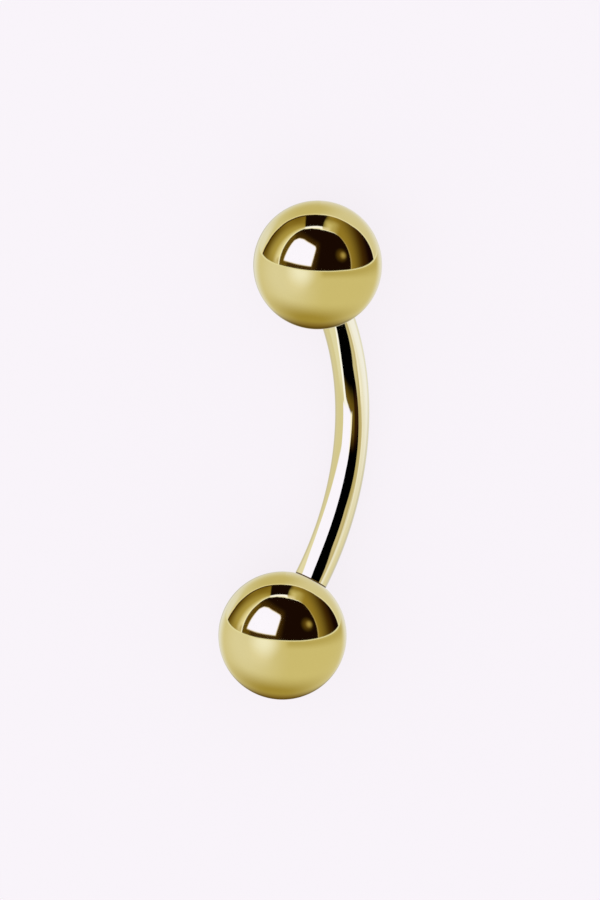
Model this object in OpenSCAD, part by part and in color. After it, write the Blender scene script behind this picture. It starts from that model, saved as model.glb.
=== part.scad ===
// Curved eyebrow barbell: a bent round bar with a ball screwed tight on each end.
// It lies as it would on a table, on its two balls and the belly of its bend.
// +X runs from the lower ball to the upper ball, +Z is up.
// The origin is on the table, under the middle of the whole.

/* [Balls] */
// Diameter of each ball
ball_d = 4; // [3:0.1:5]
// Clear length between the two balls
ball_gap = 8; // [6:0.5:10]

/* [Bar] */
// Thickness of the round bar
bar_d = 1.07; // [0.8:0.01:1.6]
// Bend radius, to the middle of the bar
bend_r = 8.8; // [8:0.1:14]

/* [Ends of the bar] */
// Width of the shoulder between the bar and the thinner post
shoulder_w = 0.13; // [0.08:0.01:0.2]
// Length of the post inside each ball
post_len = 2.2; // [1.2:0.1:2.4]
// Chamfer round the shoulder and round the mouth of each hole
chamfer = 0.03; // [0.02:0.01:0.06]

/* [Seat in each ball] */
// Width of the flat that shows round the bar
seat_rim = 0.05; // [0.02:0.01:0.12]
// Hairline between the shoulder and the flat
seat_gap = 0.03; // [0.01:0.01:0.05]
// Room between the post and the wall of its hole
post_play = 0.02; // [0.01:0.01:0.05]
// Room between the tip of the post and the floor of its hole
tip_room = 0.15; // [0.05:0.05:0.3]

/* [Hidden] */
$fn = 180;
gold = [0.83, 0.75, 0.44];

ball_r = ball_d / 2;
bar_r = bar_d / 2;
half_span = (ball_gap + ball_d) / 2;

// Heights along a post, from the centre of its ball towards the bend
seat_d = bar_d + 2 * seat_rim;
seat_z = sqrt(pow(ball_r, 2) - pow(seat_d / 2, 2));
shoulder_z = seat_z + seat_gap;
post_d = bar_d - 2 * shoulder_w;
hole_d = post_d + 2 * post_play;
hole_floor_z = shoulder_z - post_len - tip_room;

// Half of the bend's angle: the one at which both posts point at the ball centres
half_angle = asin(half_span / norm([bend_r, shoulder_z])) - atan(shoulder_z / bend_r);
// Depth of the bend, from the line between the ball centres to the middle of the bar
sagitta = bend_r * (1 - cos(half_angle)) + shoulder_z * sin(half_angle);
// Lean at which the belly of the bend comes down to the table, from straight down
lean = acos(min(1, (ball_r - bar_r) / sagitta));
// Shift that keeps the origin under the middle, where the belly reaches past the balls
belly_reach = sagitta * sin(lean) + bar_r;
y_shift = max(0, belly_reach - ball_r) / 2;

// Lays down what is drawn with the ball centres on the X axis and the bend hanging down
module lay_down() {
    translate([0, y_shift, ball_r]) rotate([-lean, 0, 0]) children();
}

// Moves to a ball's centre, +Z along the post towards the bend. side is 1 or -1 along X
module at_ball(side) {
    translate([side * half_span, 0, 0]) rotate([0, -side * (90 + half_angle), 0]) children();
}

// The post at one end of the bar, rooted in the bar by the shoulder's width
module post() {
    translate([0, 0, shoulder_z - post_len]) cylinder(d = post_d, h = post_len + shoulder_w);
}

// Ring of triangular section that cuts the chamfer off the edge of the shoulder
module shoulder_cut() {
    translate([0, 0, shoulder_z]) rotate_extrude() polygon([
        [bar_r - 2 * chamfer, -chamfer],
        [bar_r + chamfer, -chamfer],
        [bar_r + chamfer, 2 * chamfer]
    ]);
}

// The bar: one bend from shoulder to shoulder, with a straight post beyond each
module bar() {
    color(gold) lay_down() difference() {
        union() {
            translate([0, 0, bend_r - sagitta]) rotate([90, 0, 0])
                rotate_extrude(start = 270 - half_angle, angle = 2 * half_angle)
                    translate([bend_r, 0]) circle(d = bar_d);
            for (side = [-1, 1]) at_ball(side) post();
        }
        for (side = [-1, 1]) at_ball(side) shoulder_cut();
    }
}

// A ball with its flat, its blind hole and the chamfer round the hole's mouth
module ball_end(side) {
    color(gold) lay_down() at_ball(side) difference() {
        sphere(d = ball_d);
        translate([0, 0, seat_z]) cylinder(d = ball_d, h = ball_r);
        translate([0, 0, hole_floor_z]) cylinder(d = hole_d, h = ball_d);
        translate([0, 0, seat_z - chamfer])
            cylinder(d1 = hole_d, d2 = hole_d + 4 * chamfer, h = 2 * chamfer);
    }
}

module upper_ball() ball_end(1);

module lower_ball() ball_end(-1);

bar();
upper_ball();
lower_ball();
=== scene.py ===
"""Curved eyebrow barbell: polished gold bar and balls, lying on a plain pale floor.

Lengths are in metres and colours are 8-bit sRGB, unless a name says otherwise.
"""
import math

import bpy
from mathutils import Matrix, Vector


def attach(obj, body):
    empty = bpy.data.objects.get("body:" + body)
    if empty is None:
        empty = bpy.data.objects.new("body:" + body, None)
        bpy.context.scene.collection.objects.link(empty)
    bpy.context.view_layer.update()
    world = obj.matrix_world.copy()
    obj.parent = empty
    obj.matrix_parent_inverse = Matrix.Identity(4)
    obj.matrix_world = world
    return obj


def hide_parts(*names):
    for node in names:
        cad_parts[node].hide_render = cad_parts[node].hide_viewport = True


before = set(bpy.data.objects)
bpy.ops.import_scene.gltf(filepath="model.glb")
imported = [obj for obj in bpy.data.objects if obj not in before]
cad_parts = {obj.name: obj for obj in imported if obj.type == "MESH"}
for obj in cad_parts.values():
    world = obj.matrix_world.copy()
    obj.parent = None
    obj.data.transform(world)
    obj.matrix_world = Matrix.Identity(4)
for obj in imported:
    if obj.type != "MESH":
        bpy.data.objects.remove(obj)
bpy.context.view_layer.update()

MM = 0.001

# Driving sizes, the same as the frame's
BALL_R = 2.0 * MM
BALL_GAP = 8.0 * MM
BAR_R = 0.535 * MM
BEND_R = 8.8 * MM
SHOULDER_W = 0.13 * MM
POST_LEN = 2.2 * MM
CHAMFER = 0.03 * MM
SEAT_RIM = 0.05 * MM
SEAT_GAP = 0.03 * MM
POST_PLAY = 0.02 * MM
TIP_ROOM = 0.15 * MM

# Heights along a post, from the centre of its ball towards the bend
HALF_SPAN = BALL_GAP / 2 + BALL_R
SEAT_Z = math.sqrt(BALL_R**2 - (BAR_R + SEAT_RIM) ** 2)
SHOULDER_Z = SEAT_Z + SEAT_GAP
POST_R = BAR_R - SHOULDER_W
HOLE_R = POST_R + POST_PLAY
HOLE_FLOOR_Z = SHOULDER_Z - POST_LEN - TIP_ROOM

# The shoulder is drawn almost up to the flat, as when the ball is screwed tight
TIGHT_GAP = 0.02 * MM
TIGHT_Z = SEAT_Z + TIGHT_GAP

# Half of the bend's angle, its depth below the ball centres, and its lean from straight down
HALF_ANGLE = math.asin(HALF_SPAN / math.hypot(BEND_R, SHOULDER_Z)) - math.atan(SHOULDER_Z / BEND_R)
SAGITTA = BEND_R * (1 - math.cos(HALF_ANGLE)) + SHOULDER_Z * math.sin(HALF_ANGLE)
LEAN = math.acos((BALL_R - BAR_R) / SAGITTA)
Y_SHIFT = (SAGITTA * math.sin(LEAN) + BAR_R - BALL_R) / 2
LAY_DOWN = Matrix.Translation((0, Y_SHIFT, BALL_R)) @ Matrix.Rotation(-LEAN, 4, "X")

# How finely the surfaces are divided
BALL_STEPS_ROUND = 192
BALL_STEPS_DOWN = 112
BAR_STEPS_ROUND = 96
BAR_STEPS_ALONG = 160
SHARP_ANGLE = math.radians(30)

# The picture: a long lens, so that both balls look equally large
IMAGE_HEIGHT_PX = 900
SENSOR = 36.0
LENS = 800.0
PX_PER_MM = 32.138
CAMERA_BACK = Vector((0.2608, -0.0582, 0.9636)).normalized()
CAMERA_UP_HINT = Vector((0.9611, 0.1099, -0.2535))
CAMERA_RIGHT = CAMERA_UP_HINT.cross(CAMERA_BACK).normalized()
CAMERA_UP = CAMERA_BACK.cross(CAMERA_RIGHT)
CAMERA_RISE = 0.0224 * MM
CAMERA_AIM = Vector((0, Y_SHIFT, BALL_R)) + CAMERA_RISE * CAMERA_UP
CAMERA_DISTANCE = LENS / SENSOR * IMAGE_HEIGHT_PX / PX_PER_MM * MM

# The studio's own axes: its horizon is turned and tipped a little against the picture
STUDIO_UP = (CAMERA_UP + 0.05 * CAMERA_RIGHT + 0.21 * CAMERA_BACK).normalized()
STUDIO_RIGHT = STUDIO_UP.cross(CAMERA_BACK).normalized()
STUDIO_FRONT = STUDIO_RIGHT.cross(STUDIO_UP)

BACKDROP = (249, 244, 250)
GOLD = (231, 218, 152)
# Colour of the seam faces, darkened as painted shade for the gap where ball and bar meet
SEAM_SHADE_GOLD = (104, 78, 20)


def linear(colour):
    """Scene-linear values of an 8-bit sRGB colour."""
    return [c / 255 / 12.92 if c <= 10 else ((c / 255 + 0.055) / 1.055) ** 2.4 for c in colour]


def light_seen_as(colour):
    """The light that polished gold turns into this colour."""
    return [seen / kept for seen, kept in zip(linear(colour), linear(GOLD))]


# Meshes

def at_ball(side):
    """Moves to a ball's centre, +Z along the post towards the bend. side is 1 or -1 along X."""
    turn = Matrix.Rotation(-side * (math.pi / 2 + HALF_ANGLE), 4, "Y")
    return Matrix.Translation((side * HALF_SPAN, 0, 0)) @ turn


def closed_skin(name, rings, steps, seam_shade_rows):
    """Closed surface through rings of points. The first and last ring are single points.

    seam_shade_rows are the rows of faces, counted from the first ring, that take the second material: the
    rougher seam finish, darkened as painted shade.
    """
    verts = [rings[0][0]] + [point for ring in rings[1:-1] for point in ring] + [rings[-1][0]]
    last = len(verts) - 1
    next_along = [(i + 1) % steps for i in range(steps)]
    faces = [(0, 1 + j, 1 + i) for i, j in enumerate(next_along)]
    for row in range(len(rings) - 3):
        a, b = 1 + row * steps, 1 + (row + 1) * steps
        faces += [(a + i, a + j, b + j, b + i) for i, j in enumerate(next_along)]
    faces += [(last, last - steps + i, last - steps + j) for i, j in enumerate(next_along)]
    mesh = bpy.data.meshes.new(name)
    mesh.from_pydata([LAY_DOWN @ Vector(v) for v in verts], [], faces)
    for face in mesh.polygons:
        face.material_index = int(face.index // steps in seam_shade_rows)
    mesh.shade_smooth()
    mesh.set_sharp_from_angle(angle=SHARP_ANGLE)
    piece = bpy.data.objects.new(name, mesh)
    bpy.context.scene.collection.objects.link(piece)
    return piece


def ball(name, side):
    """A ball with its flat, its blind hole and the chamfer round the hole's mouth."""
    seat_angle = math.asin((BAR_R + SEAT_RIM) / BALL_R)
    profile = [(0, -BALL_R)]
    for i in range(1, BALL_STEPS_DOWN + 1):
        angle = math.pi - (math.pi - seat_angle) * i / BALL_STEPS_DOWN
        profile.append((BALL_R * math.sin(angle), BALL_R * math.cos(angle)))
    profile += [(HOLE_R + CHAMFER, SEAT_Z), (HOLE_R, SEAT_Z - CHAMFER)]
    profile += [(HOLE_R, HOLE_FLOOR_Z), (0, HOLE_FLOOR_Z)]
    place = at_ball(side)
    turns = [2 * math.pi * i / BALL_STEPS_ROUND for i in range(BALL_STEPS_ROUND)]
    rings = [[place @ Vector((r * math.cos(a), r * math.sin(a), z)) for a in turns] for r, z in profile]
    return closed_skin(name, rings, BALL_STEPS_ROUND, range(BALL_STEPS_DOWN, len(rings)))


def bar_ring(centre, bend_angle, radius):
    """Ring of points square to the bar, where the bend has come to this angle."""
    outward = Vector((math.sin(bend_angle), 0, -math.cos(bend_angle)))
    points = []
    for i in range(BAR_STEPS_ROUND):
        a = 2 * math.pi * i / BAR_STEPS_ROUND
        points.append(centre + radius * (math.cos(a) * outward + math.sin(a) * Vector((0, 1, 0))))
    return points


def bar(name):
    """The bar: one bend from shoulder to shoulder, with a straight post beyond each."""
    bend_centre = Vector((0, 0, BEND_R - SAGITTA))

    def post(side):
        """Rings from the tip of a post to the outer edge of its shoulder."""
        tip_z = SHOULDER_Z - POST_LEN
        stations = [(tip_z, 0), (tip_z, POST_R), (TIGHT_Z, POST_R), (TIGHT_Z, BAR_R - CHAMFER)]
        place = at_ball(side)
        return [bar_ring(place @ Vector((0, 0, z)), side * HALF_ANGLE, r) for z, r in stations]

    bend = []
    first = (TIGHT_Z + CHAMFER - SHOULDER_Z) / BEND_R - HALF_ANGLE
    for i in range(BAR_STEPS_ALONG + 1):
        angle = first - 2 * first * i / BAR_STEPS_ALONG
        centre = bend_centre + BEND_R * Vector((math.sin(angle), 0, -math.cos(angle)))
        bend.append(bar_ring(centre, angle, BAR_R))
    start, end = post(-1), post(1)[::-1]
    rings = start + bend + end
    rows = len(rings) - 1
    # The post and shoulder rows take the seam material, darkened as painted shade
    seam_shade_rows = [*range(len(start)), *range(rows - len(end), rows)]
    return closed_skin(name, rings, BAR_STEPS_ROUND, seam_shade_rows)


# Shader nodes

class Nodes:
    """Adds nodes to a tree and links them. An input is a number, a vector, a colour or an output."""

    def __init__(self, tree):
        self.tree = tree

    def add(self, kind, *inputs, **settings):
        """A new node, with its first inputs fed in order and its settings set."""
        node = self.tree.nodes.new(kind)
        for key, value in settings.items():
            setattr(node, key, value)
        for socket, value in zip(node.inputs, inputs):
            self.feed(socket, value)
        return node

    def feed(self, socket, value):
        """Links an output to the socket, or sets the socket's own value. None leaves it alone."""
        if isinstance(value, bpy.types.NodeSocket):
            self.tree.links.new(value, socket)
        elif value is not None:
            socket.default_value = value

    def math(self, operation, *inputs):
        return self.add("ShaderNodeMath", *inputs, operation=operation).outputs[0]

    def dot(self, a, b):
        return self.add("ShaderNodeVectorMath", a, b, operation="DOT_PRODUCT").outputs["Value"]

    def ramp(self, value, low, high):
        """Smooth step from 0 at low to 1 at high."""
        return self.add("ShaderNodeMapRange", value, low, high, interpolation_type="SMOOTHSTEP").outputs[0]

    def mix(self, factor, a, b):
        """Colour a at factor 0 and colour b at factor 1."""
        node = self.add("ShaderNodeMix", data_type="RGBA")
        for key, value in (("Factor_Float", factor), ("A_Color", a), ("B_Color", b)):
            self.feed(next(s for s in node.inputs if s.identifier == key), value)
        return next(s for s in node.outputs if s.identifier == "Result_Color")


# What polishing leaves: clouds of tone and haze, and fine marks. Scales are in waves per metre
CLOUD_SCALE = 700.0
CLOUD_TONE = 0.02
CLOUD_HAZE = 0.2
MARK_SCALE = 5000.0
MARK_DEPTH = 0.0002 * MM


def gold(name, roughness, shift):
    """Mirror-polished gold plating. shift moves the clouds, so that no two golds share theirs."""
    material = bpy.data.materials.new(name)
    material.use_nodes = True
    nodes = Nodes(material.node_tree)
    shader = material.node_tree.nodes["Principled BSDF"]
    shader.inputs["Metallic"].default_value = 1.0
    place = nodes.add("ShaderNodeTexCoord").outputs["Object"]
    spot = nodes.add("ShaderNodeVectorMath", place, (shift, shift, shift), operation="ADD").outputs[0]
    cloud = nodes.add("ShaderNodeTexNoise", spot, None, CLOUD_SCALE, 3.0).outputs["Fac"]
    darker, lighter = [(*[share * c for c in linear(GOLD)], 1) for share in (1 - CLOUD_TONE, 1 + CLOUD_TONE)]
    nodes.feed(shader.inputs["Base Color"], nodes.mix(cloud, darker, lighter))
    clearer, hazier = [share * roughness for share in (1 - CLOUD_HAZE, 1 + CLOUD_HAZE)]
    haze = nodes.add("ShaderNodeMapRange", cloud, 0.3, 0.7, clearer, hazier).outputs[0]
    nodes.feed(shader.inputs["Roughness"], haze)
    marks = nodes.add("ShaderNodeTexNoise", spot, None, MARK_SCALE, 2.0).outputs["Fac"]
    bump = nodes.add("ShaderNodeBump")
    bump.inputs["Strength"].default_value = 1.0
    bump.inputs["Distance"].default_value = MARK_DEPTH
    nodes.feed(bump.inputs["Height"], marks)
    nodes.feed(shader.inputs["Normal"], bump.outputs[0])
    return material


def shaded_seam_gold(name):
    """The machined end of the bar and the seat in the ball, turned but not polished, with the colour darkened
    as painted shade for the gap between them.
    """
    material = bpy.data.materials.new(name)
    material.use_nodes = True
    shader = material.node_tree.nodes["Principled BSDF"]
    shader.inputs["Base Color"].default_value = (*linear(SEAM_SHADE_GOLD), 1)
    shader.inputs["Metallic"].default_value = 1.0
    shader.inputs["Roughness"].default_value = 0.4
    return material


# The studio, as the polished gold sees it

def panel(name, colour, corners, soft=2.0, rim=None, overhead=False, inside=()):
    """A flat-sided area of the studio, with its corners in degrees, and what is painted inside it.

    A corner is (azimuth, elevation): azimuth 0 faces the camera and grows to the right. Overhead, it
    is how far the corner lies from straight up, to the right and towards the camera. soft is the
    width over which the edge fades, and rim the width and colour of a line round the outside.
    """
    return {"name": name, "colour": colour, "corners": corners, "soft": soft, "rim": rim,
            "overhead": overhead, "inside": inside}


def patch(name, colour, centre, inner, outer):
    """A round area of the studio that fades out between two distances from its centre, in degrees."""
    return {"name": name, "colour": colour, "centre": centre, "inner": inner, "outer": outer, "inside": ()}


def box(left, right, bottom, top):
    """Corners of an upright rectangle."""
    return [(left, bottom), (right, bottom), (right, top), (left, top)]


# Azimuths that lie past the seam behind the object, and the height of the studio's horizon
LEFT_END = -260
RIGHT_END = 260
HORIZON = 2.4

WINDOW = (250, 245, 250)
BLACK = (1, 1, 1)

# What each ball sees: a pale floor, and over it two gold walls, a dark room between them, and pale
# arches behind
BALL_FLOOR = (203, 186, 110)
BALL_FLOOR_LIGHTS = [
    patch("broad sheen", (217, 204, 146), (-68, -12), 12, 84),
    patch("sheen on the floor", (221, 207, 148), (-40, -22), 2, 30),
    patch("sheen", (238, 230, 186), (-31, -2), 3, 35),
    panel("shade along the horizon", (182, 162, 82), box(8, 150, -8, 3), 14),
    patch("foot", (160, 136, 50), (-170, -70), 8, 50),
]
LEFT_WALL = [
    patch("dark end of the left wall", (90, 66, 8), (-126, 16), 6, 38),
    patch("dark top of the left wall", (112, 86, 16), (-140, 54), 0, 18),
    panel("middle of the left wall", (174, 151, 65), box(-104, -60, 2, 72), 30),
    panel("light end of the left wall", (228, 213, 147), box(-87, -60, 2, 72), 15),
    patch("foot of the left wall", (190, 170, 104), (-79, 7), 1, 8),
]
DARK_END = [
    patch("shade of the right wall", (60, 36, 4), (130, 2), 33, 69),
    patch("dark end of the right wall", (22, 6, 3), (130, 5), 17, 37),
]
ROOM = [
    panel("glow round the window", (62, 40, 5), [(-80, 0), (-80, 60), (-40, 63), (2, 52), (-6, 0)], 14),
    panel("brown edge", (94, 70, 10), [(-95, -10), (-95, 52), (-70, 52), (-56, -10)], 8),
    panel("window", WINDOW,
          [(-67, 11), (-65, 45.5), (-58.5, 52), (-45, 54), (-20, 50), (-8, 46), (-6, 42), (-12.5, 10)], 2.5,
          rim=(1, (200, 175, 95))),
    patch("glow of the lamp", (100, 73, 15), (49, 27), 0, 14),
    patch("lamp", (168, 142, 63), (52.5, 26.5), 0, 8),
]
ROOM_AND_EDGE = [
    panel("dim end of the room's edge", (166, 141, 70), box(55, 90, -10, 63), 8),
    panel("room", (24, 9, 2),
          [(-75.5, 0), (-80.5, 60), (-79, 67.5), (-60, 77.5), (-30, 81), (0, 81.5), (37, 78), (52.5, 73.5),
           (65, 66.5), (70, 57), (69, 45), (64, 0)],
          1.5, inside=ROOM),
]
LEFT_ARCH = [(LEFT_END, 0), (LEFT_END, 63), (-180, 63), (-161, 60), (-149, 54.5), (-138, 45),
             (-129, 31), (-125, 15), (-128, 0)]
LEFT_ARCH_FOOT = [patch("light foot of the left arch", (223, 214, 170), (-138, 6), 4, 22)]
ARCH_MIDDLE = [patch("middle of the arch", (195, 177, 100), (-167, 45), 8, 32)]
UPPER_HALF = [
    panel("left wall", (136, 110, 32), [(-160, 0), (-150, 63), (-130, 68), (-110, 71.5), (-60, 72), (-60, 0)],
          inside=LEFT_WALL),
    panel("top of the right wall", (141, 116, 37), [(8, 14), (9, -30), (40, -30), (40, 14)], 8,
          overhead=True),
    panel("right wall", (147, 120, 36),
          [(60, 0), (60, 72), (100, 72), (120, 70), (140, 66), (160, 60), (160, 0)], 3, inside=DARK_END),
    panel("light edge", (181, 161, 81), [(6, 14), (6, -13), (23, -13), (25, 14)], 12, overhead=True),
    panel("middle of the light edge", (200, 182, 106), box(10, 16.5, -6, 14), 7, overhead=True),
    panel("near end of the light edge", (216, 198, 136), [(3, 14), (3, 3), (15, 3.5), (15, 14)], 6,
          overhead=True),
    panel("dark line along the left arch", (60, 36, 0), LEFT_ARCH, rim=(7, (60, 36, 0))),
    panel("left arch", (205, 191, 122), LEFT_ARCH, rim=(3, (226, 208, 138)),
          inside=LEFT_ARCH_FOOT + ARCH_MIDDLE),
    panel("right arch", (209, 195, 132),
          [(RIGHT_END, 0), (RIGHT_END, 63), (180, 63), (162, 61), (148, 57), (137, 50.5), (130.5, 42),
           (128.5, 30), (127, 0)],
          rim=(3, (232, 218, 158)), inside=ARCH_MIDDLE),
    panel("opening", (22, 9, 2), [(-20, 1), (-16, -25), (8, -24.5), (4.5, 2.5)], overhead=True),
    panel("light strip", (255, 248, 224), [(-20.5, 1), (4, 2.5), (5.5, 14), (-20.5, 14)], overhead=True),
    panel("edge of the room", (240, 230, 180),
          [(-78, 0), (-83, 60.5), (-81.5, 69.5), (-61, 79.5), (-30.5, 83.5), (0, 84), (37.5, 80.5),
           (53.5, 75.5), (67, 68), (72.5, 57.5), (71.5, 45), (66.5, 0)],
          1.5, inside=ROOM_AND_EDGE),
]
BALL_STUDIO = BALL_FLOOR_LIGHTS + [
    panel("upper half", (20, 9, 0), box(LEFT_END, RIGHT_END, HORIZON, 120), 1,
          rim=(1.5, (226, 216, 155)), inside=UPPER_HALF),
    patch("pale back on the left", (219, 209, 154), (-153, -6), 4, 32),
    patch("pale back on the right", (217, 205, 148), (156, -5), 4, 28),
    patch("dim back", (190, 178, 118), (-172, -7), 4, 16),
    patch("brown foot", (128, 101, 30), (180, -44), 4, 24),
    patch("dark back below", (90, 67, 14), (180, -31), 4, 19),
]

# What the bar sees: a tall window on the left, a black field beside it, and a gold line and pale light
# on the right
BAR_FLOOR = (211, 199, 141)
PALE_FOOT = [patch("pale foot", (238, 220, 157), (139, -60.5), 58.5, 59)]
GLOWS = [
    panel("end of the brown glow", (46, 24, 5), [(-20, -34), (42, -28), (42, -21), (-20, -18)], 5),
    panel("brown glow", (104, 82, 20), [(-60, -43), (16, -30), (18, -22), (-60, -22)], 9),
]
BAR_STUDIO = PALE_FOOT + [
    panel("light beside the low window", (222, 213, 163), box(-92, 0, -90, -35), 12),
    panel("upper left light", (224, 213, 162), box(-150, 0, 6, 90), 16),
    panel("left limb", (199, 186, 128), box(LEFT_END, -135, -90, 90), 20),
    panel("right light", (217, 205, 150), box(64, RIGHT_END, -90, 90), 4),
    panel("upper right light", (241, 236, 214), box(40, RIGHT_END, -18, 90), 14),
    panel("light beside the gold line", (244, 236, 203), [(64, -60), (64, -19.5), (82, -18), (82, -60)], 3),
    panel("foot of the gold line", (190, 172, 111),
          [(60, -60), (60, -24), (78, -20), (90, -22), (90, -60)]),
    panel("upper right limb", (220, 211, 160), box(133, RIGHT_END, -90, 90), 26),
    panel("lower right limb", (204, 194, 148), box(122, RIGHT_END, -90, -14), 12),
    patch("low end of the gold line", (200, 184, 122), (66, -11), 1, 8),
    panel("gold line", (186, 168, 103), box(30, 64, -90, 90), 4),
    panel("bulge of the gold line", (190, 172, 109), [(62, -21), (62, -16), (73, -17), (73, -19)]),
    panel("top of the gold line", (201, 187, 130), box(30, 64, -90, -25), 4),
    panel("end of the gold line", (199, 181, 122), box(30, 64, -12, 90), 5),
    panel("low window", (250, 246, 226),
          [(-20, -59), (-31, -57.5), (-44, -54.5), (-52, -50.5), (-56.5, -47), (-59, -44),
           (-59.5, -38), (-57, -31), (0, -28), (0, -59)],
          inside=PALE_FOOT),
    panel("side window", WINDOW,
          [(-66, -14), (-104, 6.5), (-106.5, 9.5), (-105, 13), (-100, 19.5), (-92, 24.5), (-77, 33),
           (-60, 36), (-60, -14)],
          4),
    panel("window", WINDOW, box(-65, 0, -31, 37)),
    panel("pale edge of the window", (250, 240, 200), box(-10, 4, -31, -16), 4),
    panel("upper dark", BLACK,
          [(-11.5, -12), (-15, -6), (-17.5, 0), (-18.5, 6), (-18, 12), (-15, 18), (-8, 21.5), (38, 22),
           (38, -12)],
          1.5),
    panel("middle dark", BLACK,
          [(3, -30), (-12, -10.5), (38, -10.5), (48, -16), (49.5, -19), (39.5, -30)], 1.5, inside=GLOWS),
    panel("low dark", BLACK,
          [(40, -60), (-2, -57), (-15, -55.5), (-26, -53.5), (-33.5, -51), (-39.5, -48), (-42.5, -45),
           (-44.5, -41), (-43.5, -37), (-40, -34), (-7, -28.5), (39, -28)],
          1.5, inside=GLOWS + PALE_FOOT),
    panel("dark foot", BLACK, [(38, -32.5), (62, -29), (62, -62), (38, -62)], 1.5, inside=PALE_FOOT),
    panel("dark head", BLACK, [(30, 22), (30, -2.5), (56, -8), (60, 22)], 1.5),
]


# Distance of the square lights from the origin, and of the middle of each ball's studio: it stands in
# front of the origin for the upper ball and behind it for the lower one
STUDIO_HALF = 250 * MM
STUDIO_STEP = 14.2 * MM


def winding(corners):
    """1 where the corners of an outline run anticlockwise, and -1 where they run clockwise."""
    twice_area = sum(a.x * b.y - b.x * a.y for a, b in zip(corners, corners[1:] + corners[:1]))
    return math.copysign(1, twice_area)


def studio_light(name, floor, shapes, middle=0.0):
    """Area light that shows the studio's floor and shapes, each in its direction from the middle.

    middle is how far the studio's middle stands in front of the origin.
    """
    light = bpy.data.lights.new(name, "AREA")
    light.shape = "SQUARE"
    light.size = 2 * STUDIO_HALF
    light.energy = math.pi * light.size**2
    light.use_nodes = True
    nodes = Nodes(light.node_tree)
    place = nodes.add("ShaderNodeNewGeometry").outputs["Position"]
    reach = nodes.add("ShaderNodeVectorMath", place, middle * STUDIO_FRONT, operation="SUBTRACT").outputs[0]
    ray = nodes.add("ShaderNodeVectorMath", reach, operation="NORMALIZE").outputs[0]
    right, up, front = [nodes.dot(ray, axis) for axis in (STUDIO_RIGHT, STUDIO_UP, STUDIO_FRONT)]
    azimuth = nodes.math("ARCTAN2", right, front)
    elevation = nodes.math("DEGREES", nodes.math("ARCSINE", up))
    off = nodes.math("SUBTRACT", 90.0, elevation)
    sideways = nodes.math("MULTIPLY", off, nodes.math("SINE", azimuth))
    forward = nodes.math("MULTIPLY", off, nodes.math("COSINE", azimuth))
    around = nodes.add("ShaderNodeCombineXYZ", nodes.math("DEGREES", azimuth), elevation, 1.0).outputs[0]
    overhead = nodes.add("ShaderNodeCombineXYZ", sideways, forward, 1.0).outputs[0]

    def panel_cover(shape, grow=0.0):
        """How far a panel covers this direction, grown by so many degrees on every side."""
        covered = 1.0
        corners = [Vector(corner) for corner in shape["corners"]]
        turn = winding(corners)
        point = overhead if shape["overhead"] else around
        for a, b in zip(corners, corners[1:] + corners[:1]):
            inward = turn * Vector((a.y - b.y, b.x - a.x)).normalized()
            depth = nodes.dot(point, (inward.x, inward.y, grow - inward.dot(a)))
            edge = nodes.ramp(depth, -shape["soft"] / 2, shape["soft"] / 2)
            covered = nodes.math("MULTIPLY", covered, edge)
        return covered

    def patch_cover(shape):
        """How far a patch covers this direction."""
        a, e = [math.radians(angle) for angle in shape["centre"]]
        level = math.sin(a) * STUDIO_RIGHT + math.cos(a) * STUDIO_FRONT
        away = nodes.math("ARCCOSINE", nodes.dot(ray, math.cos(e) * level + math.sin(e) * STUDIO_UP))
        return nodes.ramp(nodes.math("DEGREES", away), shape["outer"], shape["inner"])

    def paint(colour, shapes):
        """The colour with the shapes painted over it in turn, each under its name in the node tree."""
        for shape in shapes:
            if shape.get("rim"):
                width, rim_colour = shape["rim"]
                colour = nodes.mix(panel_cover(shape, width), colour, (*light_seen_as(rim_colour), 1))
            covered = panel_cover(shape) if "corners" in shape else patch_cover(shape)
            colour = nodes.mix(covered, colour, paint((*light_seen_as(shape["colour"]), 1), shape["inside"]))
            colour.node.label = shape["name"]
        return colour

    colour = paint((*light_seen_as(floor), 1), shapes)
    nodes.feed(light.node_tree.nodes["Emission"].inputs["Color"], colour)
    return light


def surround(light, lit_pieces):
    """Puts the light on all six sides of the object, and lets it reach only these pieces."""
    receivers = bpy.data.collections.new(light.name)
    for piece in lit_pieces:
        receivers.objects.link(piece)
    for axis in range(3):
        for sign in (-1, 1):
            out = Vector([sign * (i == axis) for i in range(3)])
            lamp = bpy.data.objects.new(f"{light.name}_{'xyz'[axis]}{'+-'[sign < 0]}", light)
            lamp.location = STUDIO_HALF * out
            lamp.rotation_euler = out.to_track_quat("Z", "Y").to_euler()
            lamp.light_linking.receiver_collection = receivers
            lamp.visible_camera = False
            bpy.context.scene.collection.objects.link(lamp)


# The floor is a large square. Most of its light is its own, and the rest takes the object's shadow
FLOOR_HALF = 600 * MM
SHADED_SHARE = 0.12


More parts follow.
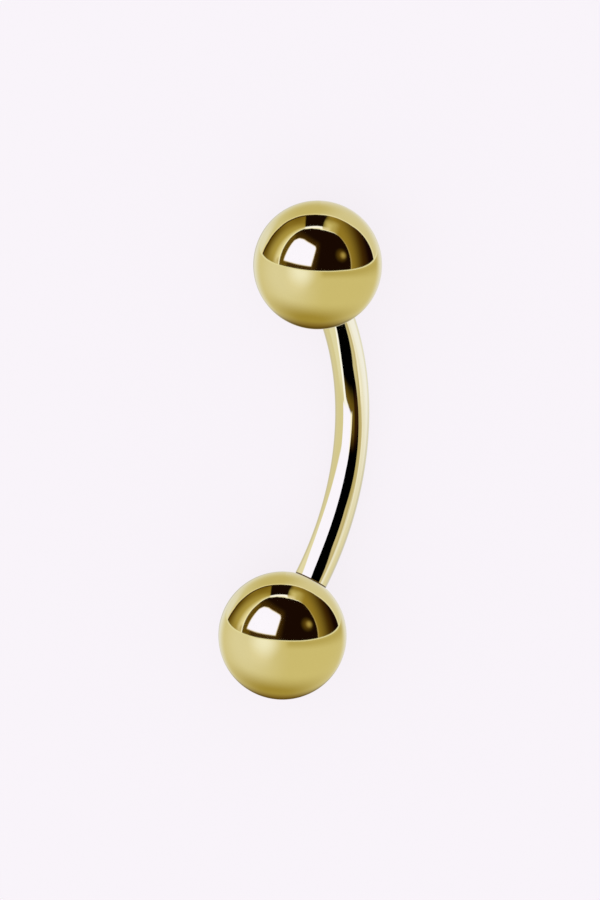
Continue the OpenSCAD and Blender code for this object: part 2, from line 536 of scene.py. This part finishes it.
def plain_floor():
    """Pale floor that blends into the world behind it, with a faint shadow under the object."""
    corners = [(x, y, 0) for x, y in box(-FLOOR_HALF, FLOOR_HALF, -FLOOR_HALF, FLOOR_HALF)]
    mesh = bpy.data.meshes.new("floor")
    mesh.from_pydata(corners, [], [(0, 1, 2, 3)])
    floor = bpy.data.objects.new("floor", mesh)
    bpy.context.scene.collection.objects.link(floor)
    material = bpy.data.materials.new("floor")
    material.use_nodes = True
    tree = material.node_tree
    tree.nodes.clear()
    nodes = Nodes(tree)
    glow = nodes.add("ShaderNodeEmission", (*linear(BACKDROP), 1)).outputs[0]
    matt = nodes.add("ShaderNodeBsdfDiffuse", (1, 1, 1, 1)).outputs[0]
    mixed = nodes.add("ShaderNodeMixShader", SHADED_SHARE, glow, matt).outputs[0]
    nodes.add("ShaderNodeOutputMaterial", mixed)
    mesh.materials.append(material)
    floor.visible_glossy = False


def pale_world():
    """The plain pale surroundings, which light the floor and show behind it."""
    world = bpy.data.worlds.new("surroundings")
    world.use_nodes = True
    world.node_tree.nodes["Background"].inputs["Color"].default_value = (*linear(BACKDROP), 1)
    bpy.context.scene.world = world
    world.cycles_visibility.glossy = False


def camera():
    """A long lens at the photo's angle to the object."""
    data = bpy.data.cameras.new("camera")
    data.sensor_fit = "VERTICAL"
    data.sensor_height = SENSOR
    data.lens = LENS
    data.clip_start = 0.01
    data.clip_end = 10
    eye = bpy.data.objects.new("camera", data)
    axes = Matrix((CAMERA_RIGHT, CAMERA_UP, CAMERA_BACK)).transposed()
    eye.matrix_world = Matrix.Translation(CAMERA_AIM + CAMERA_DISTANCE * CAMERA_BACK) @ axes.to_4x4()
    bpy.context.scene.collection.objects.link(eye)
    bpy.context.scene.camera = eye
    bpy.context.scene.view_settings.view_transform = "Standard"


golds = {
    "ball_gold": gold("polished_ball_gold", roughness=0.045, shift=0.0),
    "bar_gold": gold("polished_bar_gold", roughness=0.03, shift=0.3),
}
# Rougher seam faces, darkened as painted shade where ball and bar meet
seam = shaded_seam_gold("dull_seam")
pieces = {
    "upper_ball": ball("polished_upper_ball", 1),
    "lower_ball": ball("polished_lower_ball", -1),
    "bar": bar("polished_bar"),
}
for node, piece in pieces.items():
    slot = "bar_gold" if node == "bar" else "ball_gold"
    piece.data.materials.append(golds[slot])
    piece.data.materials.append(seam)
    piece.visible_glossy = False
    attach(piece, "root")
    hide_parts(node)

surround(studio_light("upper_studio", BALL_FLOOR, BALL_STUDIO, STUDIO_STEP), [pieces["upper_ball"]])
surround(studio_light("lower_studio", BALL_FLOOR, BALL_STUDIO, -STUDIO_STEP), [pieces["lower_ball"]])
surround(studio_light("bar_studio", BAR_FLOOR, BAR_STUDIO), [pieces["bar"]])
plain_floor()
pale_world()
camera()
